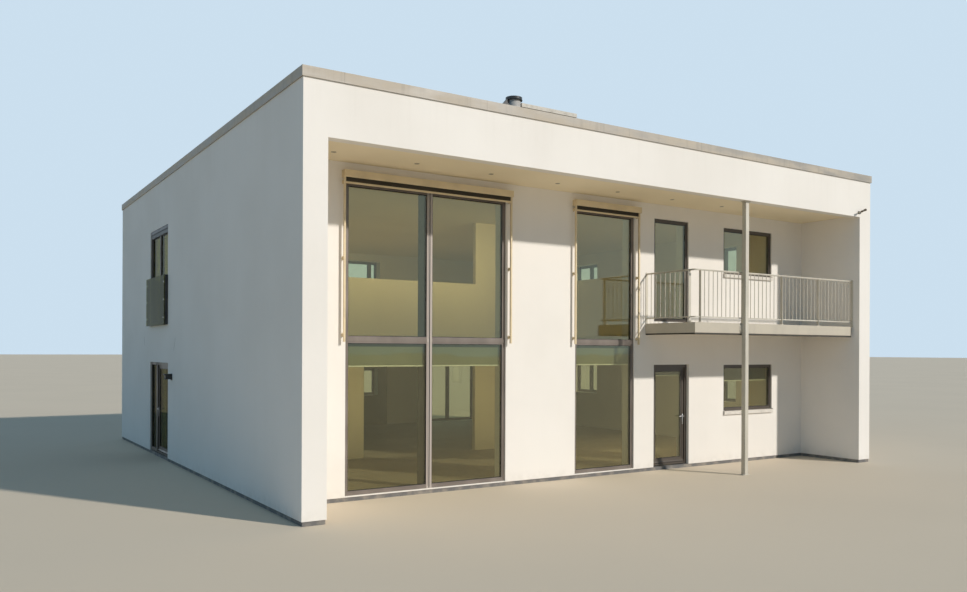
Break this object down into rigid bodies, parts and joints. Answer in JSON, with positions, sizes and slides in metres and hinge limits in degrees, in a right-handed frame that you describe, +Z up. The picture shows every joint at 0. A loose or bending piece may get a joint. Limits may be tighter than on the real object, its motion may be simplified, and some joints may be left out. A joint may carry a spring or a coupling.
{
  "type": "detached house",
  "caption": "Flat-roofed two-storey rendered house with a deep front recess, tall glazing with awning boxes, a railed corner balcony on a steel post and two hinged glazed doors.",
  "frame": {"origin": "on the ground, in the middle of the plan, at the underside of the plinth", "axes": "+Z up; +X along the front to the right as seen from the front; +Y into the house, so the front faces -Y"},
  "size_m": [13.947, 14.1872, 7.104],
  "materials": {
    "render": "painted smooth render",
    "plinth_render": "dark rough render",
    "plaster": "matt painted plaster",
    "floor_tile": "satin tiles",
    "capping_zinc": "weathered dull metal",
    "frame_brown": "satin dark brown",
    "glazing": "clear",
    "guard_glass": "clear",
    "awning_cream": "satin cream",
    "blind_fabric": "plain woven",
    "sill_metal": "satin",
    "slab_concrete": "trowelled concrete",
    "galvanised": "dull galvanised",
    "black_metal": "satin black",
    "roof_box_metal": "satin pale",
    "vent_grey": "matt",
    "lamp_white": "satin white",
    "handle_steel": "satin"
  },
  "bodies": {
    "house": {"awning_cassettes": "awning_cream", "awning_guides": "awning_cream", "back_wall": "render", "back_window_frames": "frame_brown", "back_window_glass": "glazing", "balcony_slab": "slab_concrete", "capping_back": "capping_zinc", "capping_front": "capping_zinc", "capping_left": "capping_zinc", "capping_right": "capping_zinc", "corner_floodlight": "lamp_white", "downlights": "lamp_white", "fascia_beam": "render", "front_wall_left": "render", "front_wall_lower_right": "render", "front_wall_over_doors": "render", "front_wall_upper_right": "render", "front_window_frames": "frame_brown", "front_window_glass": "glazing", "gable_guard_glass": "guard_glass", "gable_guard_plates": "black_metal", "gable_window_frames": "frame_brown", "gable_window_glass": "glazing", "gallery_parapet": "plaster", "ground_floor": "floor_tile", "ground_wall": "plaster", "handrail": "galvanised", "left_wall_back": "render", "left_wall_front": "render", "left_wall_over_door": "render", "patio_door_frame": "frame_brown", "plinth": "plinth_render", "railing_front": "galvanised", "railing_side": "galvanised", "right_wall": "render", "right_window_frames": "frame_brown", "right_window_glass": "glazing", "roller_blinds": "blind_fabric", "roof_box": "roof_box_metal", "roof_slab": "plaster", "side_door_frame": "frame_brown", "steel_column": "galvanised", "upper_floor": "plaster", "vent_cap": "black_metal", "vent_pipe": "vent_grey", "wall_lamp": "black_metal", "window_post": "frame_brown", "window_sills": "sill_metal"},
    "patio_door": {"patio_door_leaf": "frame_brown", "patio_door_glass": "glazing", "patio_door_handles": "handle_steel", "patio_door_blind": "blind_fabric"},
    "side_door": {"side_door_leaf": "frame_brown", "side_door_glass": "glazing", "side_door_handles": "handle_steel"}
  },
  "joints": [
    {"name": "patio_door_hinge", "type": "hinge", "parent": "house", "child": "patio_door", "pos_m": [1.5865, -5.299, 0.09], "axis": [0, 0, 1], "range_deg": [0, 90]},
    {"name": "side_door_hinge", "type": "hinge", "parent": "house", "child": "side_door", "pos_m": [-6.7575, 1.399, 0.09], "axis": [0, 0, -1], "range_deg": [0, 90]}
  ]
}
